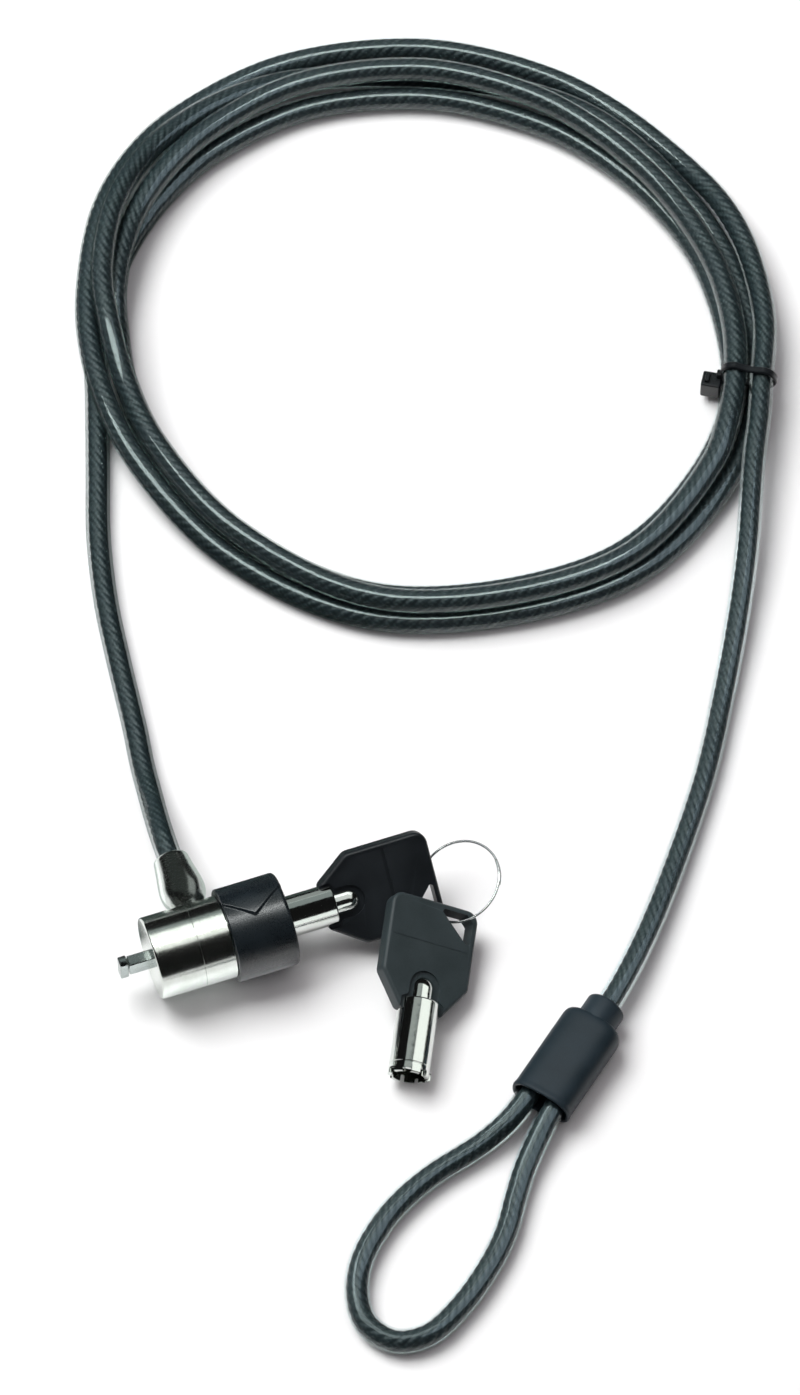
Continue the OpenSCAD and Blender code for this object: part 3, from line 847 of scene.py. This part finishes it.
def collar_shape(r, x, t):
    """The moulded recess: a V-shaped step on top that fades out down the near side."""
    if r < 9.3:
        return r
    lean = math.degrees(t) - 90                     # from straight up towards the near side
    if not -40 < lean < 75:
        return r
    edge = 11.0 - 32 * (abs(x - 23.2) / 7.6)        # the V's edge, as a lean
    d = (lean - edge) * 0.18 / 0.42
    if d <= 0:
        return r
    s = min(1.0, d)
    s = s * s * (3 - 2 * s)
    fade = 1 - max(0.0, min(1.0, (lean - 8) / 64))
    return r - 0.42 * s * fade * fade * (3 - 2 * fade)


def make_collar(plastic):
    line = rounded([(7.9, 17, 0.1), (10.25, 17, 0.35), (10.25, 30.5, 0.85), (7, 30.5, 0.25), (6.9, 30.4),
                    (6.9, 28.6), (7.9, 28.6)], 6)
    prof = []
    for i, p in enumerate(line):
        q = line[(i + 1) % len(line)]
        prof.append(p)
        if p[0] > 10.2 and q[0] > 10.2 and abs(q[1] - p[1]) > 1:
            k = int(abs(q[1] - p[1]) / 0.2)
            prof += [(p[0] + (q[0] - p[0]) * j / k, p[1] + (q[1] - p[1]) * j / k) for j in range(1, k)]
    o = revolve("grip_collar", prof, HEAD, [plastic], n=360, bump=collar_shape)
    return stands_for(o, "lock_housing", "collar_plastic", "rear_collar")


def make_bezel(metal):
    prof = rounded([(5.15, 27), (6.4, 27), (6.4, 28.42, 0.05), (6.2, 28.6, 0.1), (5.35, 28.6, 0.1), (5.15, 28.42, 0.05)], 3)
    o = revolve("keyway_ring", prof, HEAD, [metal], n=128)
    cut(o, block("c", (26, 4.6, -0.7), (30, 5.8, 0.7),
                 HEAD @ Matrix.Rotation(R(KEY_ROLL + 180), 4, "X")))
    tidy(o)
    return stands_for(o, "lock_housing", "bezel_metal", "keyway_bezel")


def make_guide(metal):
    o = block("slot_guide_prongs", (-5, -1.3, -2.05), (2, 1.3, 2.05), HEAD, [metal], edge=0.28)
    cut(o, rod("c", 1.22, -6, 4, HEAD, n=64))
    tidy(o)
    return stands_for(o, "lock_housing", "guide_steel", "slot_guide")


def make_t_end(metal):
    end = [(3 * math.sin(R(a)), 3 * math.cos(R(a))) for a in np.linspace(25.6, -25.6, 9)]
    outline = end + [(-x, -y) for x, y in end]
    o = prism("t_end_spindle", outline, -7, -5.15, HEAD @ ALONG_X, [metal])
    bevel(o, 0.3 * MM, 3, 40)
    cut(o, rod("c", 1.2, -5.4, 22, HEAD, n=64), op="UNION")
    tidy(o)
    return stands_for(o, "plug", "guide_steel", "t_bar")


# ---- keys
def make_blade(name, pose, body, mat, node):
    prof = rounded([(3.55, 0, 0.1), (4.45, 0, 0.22), (4.45, 2.1, 0.05), (4.34, 2.2), (4.34, 2.34), (4.45, 2.44, 0.05),
                    (4.45, 16.9, 0.4), (0, 16.9)], 4)
    prof += [(0, 14.4), (3.55, 14.4)]
    o = revolve(name, prof, pose, [mat], n=144)
    post = [(0, 16.7), (2.75, 16.7), (2.75, 19.9)]
    post += [(2.75 * math.cos(R(a)), 19.9 + 2.75 * math.sin(R(a))) for a in range(9, 90, 9)] + [(0, 22.65)]
    post = tidy(revolve(name + "_post", post, pose, [mat], n=96))
    stands_for(post, body, "key_nickel")
    cutters = [block("c", (-1, -4.12, -0.6), (3, -2.95, 0.6), pose)]
    for i in range(PINS):
        a = R(360 / PINS * i + 12 - KEY_ROLL)
        at = Matrix.Translation((0, -(PIN_PCR + 0.25) * math.sin(a), (PIN_PCR + 0.25) * math.cos(a)))
        cutters.append(rod("c", 0.95, -1, CUT_DEPTH[i] + 0.15, pose @ at, n=32, dome=0.3))
    cut(o, *cutters)
    nub = block("nub", (0.1, -4.95, -0.6), (2.0, -4.0, 0.6), pose, edge=0.14)
    cut(o, nub, op="UNION")
    tidy(o)
    return stands_for(o, body, "key_nickel", node), post


def inset(outline, d):
    """Moves a convex outline inwards by d."""
    P = np.array(outline, float)
    nxt, prv = np.roll(P, -1, 0), np.roll(P, 1, 0)
    t = nxt - prv
    t /= np.linalg.norm(t, axis=1)[:, None]
    nrm = np.stack([t[:, 1], -t[:, 0]], 1)           # outwards for a counter-clockwise outline
    return P - nrm * d


def make_bow(name, pose, body, mat, node):
    w, hz, rim = 10.2, 2.05, 0.8
    outline = rounded([(14.4, -4.9, 1.3), (21.7, -w, 2.4), (39.6, -w, 2.7), (39.6, w, 2.7), (21.7, w, 2.4),
                       (14.4, 4.9, 1.3)], 10)
    steps = [R(a) for a in (0, 15, 30, 45, 60, 75, 90)]
    loops = [(rim * (1 - math.sin(a)), -hz + rim * (1 - math.cos(a))) for a in steps]
    loops += [(d, -z) for d, z in reversed(loops)]
    rings = [[(x, y, z) for x, y in inset(outline, d)] for d, z in loops]
    o = loft(name, rings, pose, [mat])
    arch = rounded([(13, -5.0), (16.7, -5.0, 0.5), (17.6, -3.55, 0.5), (20.0, -3.5)], 4)
    arch += [(20.0 + 3.5 * math.sin(R(a)), -3.5 * math.cos(R(a))) for a in range(10, 180, 10)]
    arch += rounded([(20.0, 3.5), (17.6, 3.55, 0.5), (16.7, 5.0, 0.5), (13, 5.0)], 4)
    hole = rounded([(38.4, -1.9, 0.5), (37.7, -1.6, 0.3), (31.6, -8.1, 0.4), (31.9, -8.9, 0.4), (36.9, -8.9, 0.6),
                    (38.4, -7.4, 0.6)], 4)
    cut(o, prism("c", arch, hz - 0.5, 4, pose), prism("c", arch, -4, -hz + 0.5, pose), prism("c", hole, -4, 4, pose))
    for z0, z1 in ((hz - 0.1, 4), (-4, -hz + 0.1)):
        cut(o, prism("c", [(29.2, -8.9), (30.0, -8.9), (30.0, 8.9), (29.2, 8.9)], z0, z1, pose))
    bevel(o, 0.2 * MM, 2, 55)
    tidy(o)
    return stands_for(o, body, "bow_plastic", node)


def make_ring(steel_mat):
    """Wire ring whose ends overlap a little on the side away from the bows."""
    a0, turn = -34.0, 398.0
    k = np.linspace(0, 1, 220)
    ang = np.radians(a0 + turn * k)
    rise = (k - 0.5) * 0.62
    rad = RING_R - 0.04
    path = np.stack([rad * np.cos(ang), rad * np.sin(ang), rise], 1)
    m = PLACE @ Matrix.Translation(RING_C) @ Matrix.Rotation(R(RING_TILT), 4, "Y")
    o = sweep("wire_ring", path, 0.29, 16, [steel_mat], matrix=m, taper=0.5)
    return stands_for(o, "ring", "ring_steel", "key_ring")


# ---- the cable's end pieces
def oval_loop(x, a, b, e=2.8, n=96):
    out = []
    for k in range(n):
        t = 2 * math.pi * k / n
        c, s = math.cos(t), math.sin(t)
        out.append((x, a * math.copysign(abs(c) ** (2 / e), c), b * math.copysign(abs(s) ** (2 / e), s)))
    return out


def make_sleeve(plastic):
    shoulder = [(4.95, 4.2, 3.7), (5.0, 4.9, 4.0), (5.15, 5.6, 4.25), (5.45, 6.2, 4.42), (5.9, 6.58, 4.52), (6.5, 6.78, 4.58),
                (7.3, 6.85, 4.6), (16, 6.85, 4.6), (25.6, 6.85, 4.6), (26.1, 6.88, 4.62), (26.5, 6.97, 4.68),
                (26.9, 7.0, 4.7), (27.2, 6.96, 4.66), (27.36, 6.82, 4.54), (27.4, 6.6, 4.34), (27.34, 6.34, 4.1),
                (27.15, 6.2, 3.98), (26.6, 6.12, 3.9), (21.6, 5.9, 3.6)]
    loops = [oval_loop(x, a, b, 2.8 if x < 27.1 else 2.6) for x, a, b in shoulder]
    body = loft("sleeve_cover", loops, SLEEVE, [plastic])
    prof = rounded([(2.78, 0, 0.25), (4.4, 0, 0.75), (4.4, 6.0), (2.78, 6.0)], 5)
    collar = revolve("sleeve_collar", prof, SLEEVE, [plastic], n=96)
    cut(body, rod("c", 2.79, -2, 9, SLEEVE, n=64), rod("c2", 2.79, 16, 28, SLEEVE @ Matrix.Translation((0, 3, 0)), n=64),
        rod("c3", 2.79, 16, 28, SLEEVE @ Matrix.Translation((0, -3, 0)), n=64))
    tidy(body, 45)
    tidy(collar)
    stands_for(body, "root", "sleeve_plastic", "loop_sleeve")
    stands_for(collar, "root", "sleeve_plastic")
    return body, collar


def make_tie(nylon):
    """Nylon cable tie: a strap round the two top strands, with its head on the inner side."""
    half, r0, r1, w = 3.0, 2.76, 3.42, 0.82
    path = []
    for a in np.linspace(-90, 90, 25):
        path.append((half, R(a)))
    for a in np.linspace(90, 270, 25):
        path.append((-half, R(a)))
    loops = []
    for cx, a in path:
        c, s = math.cos(a), math.sin(a)
        sec = [(r0, -w + 0.15), (r0 + 0.12, -w), (r1 - 0.2, -w), (r1, -w + 0.22), (r1, w - 0.22), (r1 - 0.2, w),
               (r0 + 0.12, w), (r0, w - 0.15)]
        loops.append([(cx + r * c, y, r * s) for r, y in sec])
    # the straight runs dip a little between the strands
    mids = []
    for k, f in enumerate((0.25, 0.5, 0.75)):
        dip = 0.6 * math.sin(math.pi * f)
        top = [(p[0] + (q[0] - p[0]) * f, p[1], p[2] - dip) for p, q in zip(loops[24], loops[25])]
        mids.append(top)
    loops = loops[:25] + mids + loops[25:]
    loops.append(loops[0])
    strap = loft("tie_strap", loops, TIE, [nylon], cap0=False, cap1=False)
    bm = bmesh.new()
    bm.from_mesh(strap.data)
    bmesh.ops.remove_doubles(bm, verts=bm.verts, dist=1e-7)
    bmesh.ops.recalc_face_normals(bm, faces=bm.faces)
    bm.to_mesh(strap.data)
    bm.free()
    tidy(strap)
    head = block("tie_head", (-10.3, -3.1, -7.2), (-5.9, 0.8, -2.4), TIE, [nylon], edge=0.4, seg=4)
    neck = block("c", (-7.2, -0.82, -4.6), (-5.4, 0.82, -0.9), TIE, edge=0.3)
    cut(head, neck, op="UNION")
    cut(head, block("c", (-9.6, -2.3, -9), (-8.5, 0.0, 1), TIE))
    tidy(head)
    pawl = block("tie_tail", (-9.5, -2.15, -8.0), (-8.6, -0.15, -1.7), TIE, [nylon], edge=0.15)
    tidy(pawl)
    stands_for(strap, "root", "tie_nylon", "coil_tie")
    stands_for(head, "root", "tie_nylon")
    stands_for(pawl, "root", "tie_nylon")
    return strap, head, pawl


def strand_shape(j):
    """Radius of side j of the rope: five sides to a strand, with a groove between strands."""
    return (0.905, 0.975, 1.0, 1.0, 0.975)[j % 5]


def coil_width(s):
    """Scale of the rope along the cable, from the length at each of its points."""
    first = smooth_line([(11.6, 16.2, 10.25)] + LEAD_A, 2.0)[1]
    last = smooth_line(LEAD_B, 2.0)[1]
    f = np.clip((s - first - 10) / 50, 0, 1) * np.clip((s[-1] - last - 10 - s) / 50, 0, 1)
    return 1 + COIL_FULLER * f * f * (3 - 2 * f)


def light_only(light, objs, state="INCLUDE"):
    """The light reaches only these objects, or all but these."""
    c = bpy.data.collections.new(light.name + "_takes")
    light.light_linking.receiver_collection = c
    for o in objs:
        c.objects.link(o)
    for k in c.collection_objects:
        k.light_linking.link_state = state


def make_cables():
    rope, clear = rope_material(), jacket_material()
    pieces = {}
    for name, route, step in (("cable", CABLE_ROUTE, 0.95), ("cable_loop_line", LOOP, 0.8)):
        line, length = smooth_line(route, step)
        core = sweep(name + "_rope", line, ROPE_R, 5 * STRANDS, [rope], turns_per_mm=1 / STRAND_PITCH,
                     shape=strand_shape, widths=coil_width if name == "cable" else lambda q: 1.08)
        skin_line, _ = smooth_line(route, 1.5)
        skin = sweep(name + "_jacket", skin_line, JACKET_R, 36, [clear])
        pieces[name] = (core, skin, skin_line, length)
        for o in (core, skin):
            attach(o, "root")
    return pieces


def add_panel(name, centre, size, radiance, colour=(1, 1, 1), toward=None, shows=True, lights=True):
    """A soft light: centre as right, far and up of the object's middle, in metres, facing down or toward a point.
    shows: it is seen in glossy surfaces. lights: it lights matt ones."""
    base = Vector((0.04, 0.07, 0.0))
    at = base + RIGHT * centre[0] + FAR * centre[1] + Vector((0, 0, centre[2]))
    L = bpy.data.lights.new(name, "AREA")
    L.shape = "RECTANGLE"
    L.size, L.size_y = size
    L.energy = radiance * math.pi * size[0] * size[1]
    L.color = colour
    o = bpy.data.objects.new(name, L)
    bpy.context.scene.collection.objects.link(o)
    o.visible_glossy = shows
    o.visible_diffuse = lights
    o.location = at
    if toward is None:
        z = Vector((0, 0, 1))
    else:
        z = (at - (base + RIGHT * toward[0] + FAR * toward[1] + Vector((0, 0, toward[2])))).normalized()
    x = (RIGHT - z * RIGHT.dot(z)).normalized()
    y = z.cross(x)
    o.rotation_mode = "QUATERNION"
    o.rotation_quaternion = Matrix((x, y, z)).transposed().to_quaternion()
    return o


def main():
    add_camera()
    sc = bpy.context.scene
    sc.view_settings.view_transform = "Standard"
    sc.view_settings.look = "None"
    sc.view_settings.exposure = 0.0
    add_world(0.008)
    floor = build("studio_floor", [(-2500, -2500, 0), (2500, -2500, 0), (2500, 2500, 0), (-2500, 2500, 0)],
                  [(0, 1, 2, 3)], Matrix.Diagonal((MM, MM, MM, 1)), [floor_material()], smooth=False)
    # a soft key from the far left makes the shadows, over a wide fill; the panels are what shows in the metal
    add_panel("key_soft", (-0.85, 0.62, 1.7), (1.35, 1.35), 8.0, (0.99, 1.0, 0.99), toward=(0, 0, 0), shows=False)
    add_panel("fill", (0.2, 0.1, 1.8), (3.2, 3.2), 0.66, (1.0, 0.95, 0.975), shows=False)
    strip = add_panel("strip", (-0.26, 0.14, 1.19), (1.28, 0.14), 11, (0.97, 1.0, 0.99), lights=False)
    cable_strip = add_panel("cable_strip", (-0.26, 0.14, 1.18), (1.28, 0.42), 9.5, (0.88, 1.0, 0.98), lights=False)
    cable_card = add_panel("cable_card", (1.75, 0.0, 1.21), (2.9, 1.1), 2.4, (0.70, 0.87, 1.0), lights=False)
    loop_spot = add_panel("loop_spot", (-0.66, 0.50, 1.17), (0.55, 0.60), 5.5, (0.85, 0.98, 1.0), lights=False)
    loop_panel = add_panel("loop_panel", (-0.36, 0.14, 1.17), (1.1, 0.55), 2.2, (0.86, 1.0, 0.99), lights=False)
    dim = add_panel("dim_panel", (-0.8, 0.86, 1.21), (2.4, 1.1), 0.30, (0.88, 1.0, 0.98), lights=False)
    card = add_panel("right_card", (10.2, 0.1, 1.22), (19.6, 0.9), 1.25, (0.97, 1.0, 0.96), lights=False)
    blade_far = add_panel("blade_far", (0.0, 1.45, 0.75), (2.4, 0.95), 0.34, (0.92, 1.0, 0.97), toward=(0, 0, 0), lights=False)
    blade_near = add_panel("blade_near", (0.0, -1.5, 0.42), (2.6, 0.75), 1.15, (0.97, 1.0, 0.98), toward=(0, 0, 0), lights=False)
    post_far = add_panel("post_far", (0.0, 1.0, 1.05), (2.4, 1.3), 1.1, (0.97, 1.0, 0.98), toward=(0, 0, 0), lights=False)
    blade_top = add_panel("blade_top", (-0.05, 0.35, 1.22), (0.90, 0.5), 0.42, (0.92, 1.0, 0.97), lights=False)
    post_top = add_panel("post_top", (0.0, 0.045, 1.2), (2.4, 0.97), 0.8, (0.97, 1.0, 0.98), lights=False)
    spot = Vector((-0.0513, -0.0032, 0.0))
    spot = (spot.dot(RIGHT), spot.dot(FAR))
    bell_floor = add_panel("bell_floor", (*spot, 0.0006), (0.085, 0.09), 0.60, (0.95, 1.0, 0.98), toward=(*spot, 1.0),
                           lights=False)
    bell_floor.visible_camera = False
    drum_panel = add_panel("drum_panel", (-0.2, 0.26, 1.23), (2.6, 1.2), 1.12, (0.99, 1.0, 0.96), lights=False)
    grip_panel = add_panel("grip_panel", (-0.2, 0.0, 1.24), (2.4, 0.5), 0.28, (0.88, 1.0, 1.0), lights=False)
    bell_side = add_panel("bell_side", (1.6, 0.8, 1.25), (1.9, 2.4), 0.30, (0.95, 1.0, 0.97), lights=False)
    bell_base = add_panel("bell_base", (-0.6, 0.6, 1.26), (3.2, 2.4), 0.035, (0.85, 1.0, 0.93), lights=False)
    rope_panel = add_panel("rope_panel", (-0.5, 0.72, 1.22), (0.45, 0.8), 2.6, (0.9, 1.0, 0.99), lights=False)
    ring_panel = add_panel("ring_panel", (0.0, 0.3, 1.27), (3.0, 2.2), 0.55, (0.97, 1.0, 1.0), lights=False)

    # the cable first, then what is on it
    cables = make_cables()
    nickel = satin_nickel("satin_nickel", (0.76, 0.795, 0.76), 0.15)
    band_nickel = satin_nickel("band_nickel", (0.77, 0.805, 0.77), 0.15)
    chrome = polished("bell_chrome", (0.66, 0.70, 0.67), 0.19)
    sleeve_black = moulded("sleeve_black", (0.010, 0.018, 0.024), (0.014, 0.024, 0.032), 0.46, 0.014, 4.0,
                            spec=0.36)
    ferrule = make_ferrule(chrome)
    sleeve, collar_piece = make_sleeve(sleeve_black)
    tie = make_tie(moulded("tie_black", (0.004, 0.005, 0.006), (0.007, 0.009, 0.011), 0.30, 0.006, 5.0, wear=0.2))
    finish_node("loop_crimp", pressed_aluminium("crimp_aluminium"))
    core, skin, line, length = cables["cable"]
    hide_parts("cable_lead_lock", "cable_coil", "cable_lead_loop")
    core2, skin2, line2, length2 = cables["cable_loop_line"]
    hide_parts("cable_loop")
    print("cable", length, "loop", length2)

    # lock head
    guide_metal = steel("guide_steel", (0.40, 0.44, 0.43), 0.24)
    drum = make_drum(nickel)
    band = make_band(band_nickel)
    grip = make_collar(moulded("collar_black", (0.006, 0.009, 0.011), (0.009, 0.014, 0.018), 0.27, 0.014, 4.2,
                                 spec=0.8))
    make_bezel(steel("bezel_metal", (0.60, 0.60, 0.58), 0.22))
    guide = make_guide(guide_metal)
    t_end = make_t_end(guide_metal)
    stator, rotor = brass("stator_brass"), brass("rotor_brass", (0.78, 0.60, 0.30), 0.2)
    inner = steel("inner_steel", (0.50, 0.51, 0.51), 0.28)
    for n, m in (("cylinder_housing", stator), ("lock_plug", rotor), ("key_pins", rotor), ("driver_pins", stator),
                 ("pin_springs", inner), ("retaining_pin", inner), ("spindle_clip", inner), ("cable_stop", inner)):
        finish_node(n, m)

    # keys
    blade = polished("key_nickel", (0.72, 0.75, 0.72), 0.10)
    tube_a, post_a = make_blade("key_a_tube", POSE_A, "key_a", blade, "key_a_blade")
    tube_b, post_b = make_blade("key_b_tube", POSE_B, "key_b", blade, "key_b_blade")
    # the two bows are one plastic: key A's is painted darker (painted shade, it is turned away from the light) and
    # key B's lighter (painted light, its faces catch the light)
    make_bow("key_a_bow", POSE_A, "key_a",
             moulded("key_bow_painted_shade", (0.008, 0.010, 0.012), (0.012, 0.015, 0.018), 0.36, 0.012, 4.5), "key_a_head")
    make_bow("key_b_bow", POSE_B, "key_b",
             moulded("key_bow_painted_lit", (0.024, 0.034, 0.037), (0.032, 0.044, 0.048), 0.46, 0.016, 4.5), "key_b_head")
    ring = make_ring(polished("ring_wire", (0.74, 0.76, 0.76), 0.12))
    light_only(drum_panel, [drum, band])
    light_only(grip_panel, [grip])
    light_only(bell_side, [ferrule])
    light_only(bell_base, [ferrule])
    light_only(rope_panel, [core, core2])
    light_only(ring_panel, [ring])
    light_only(card, [tube_b, post_b])
    light_only(blade_far, [tube_a])
    light_only(blade_near, [tube_a, post_a])
    light_only(post_far, [post_a])
    light_only(post_top, [post_a])
    light_only(bell_floor, [ferrule])
    light_only(blade_top, [tube_b, post_b])
    light_only(dim, [ferrule, tube_b, post_b], "EXCLUDE")
    light_only(cable_strip, [skin])
    light_only(cable_card, [skin, skin2])
    light_only(loop_spot, [skin2])
    light_only(loop_panel, [skin2])
    light_only(strip, [tube_a, post_a, tube_b, post_b, ferrule, guide, t_end, skin, skin2],
               "EXCLUDE")


main()
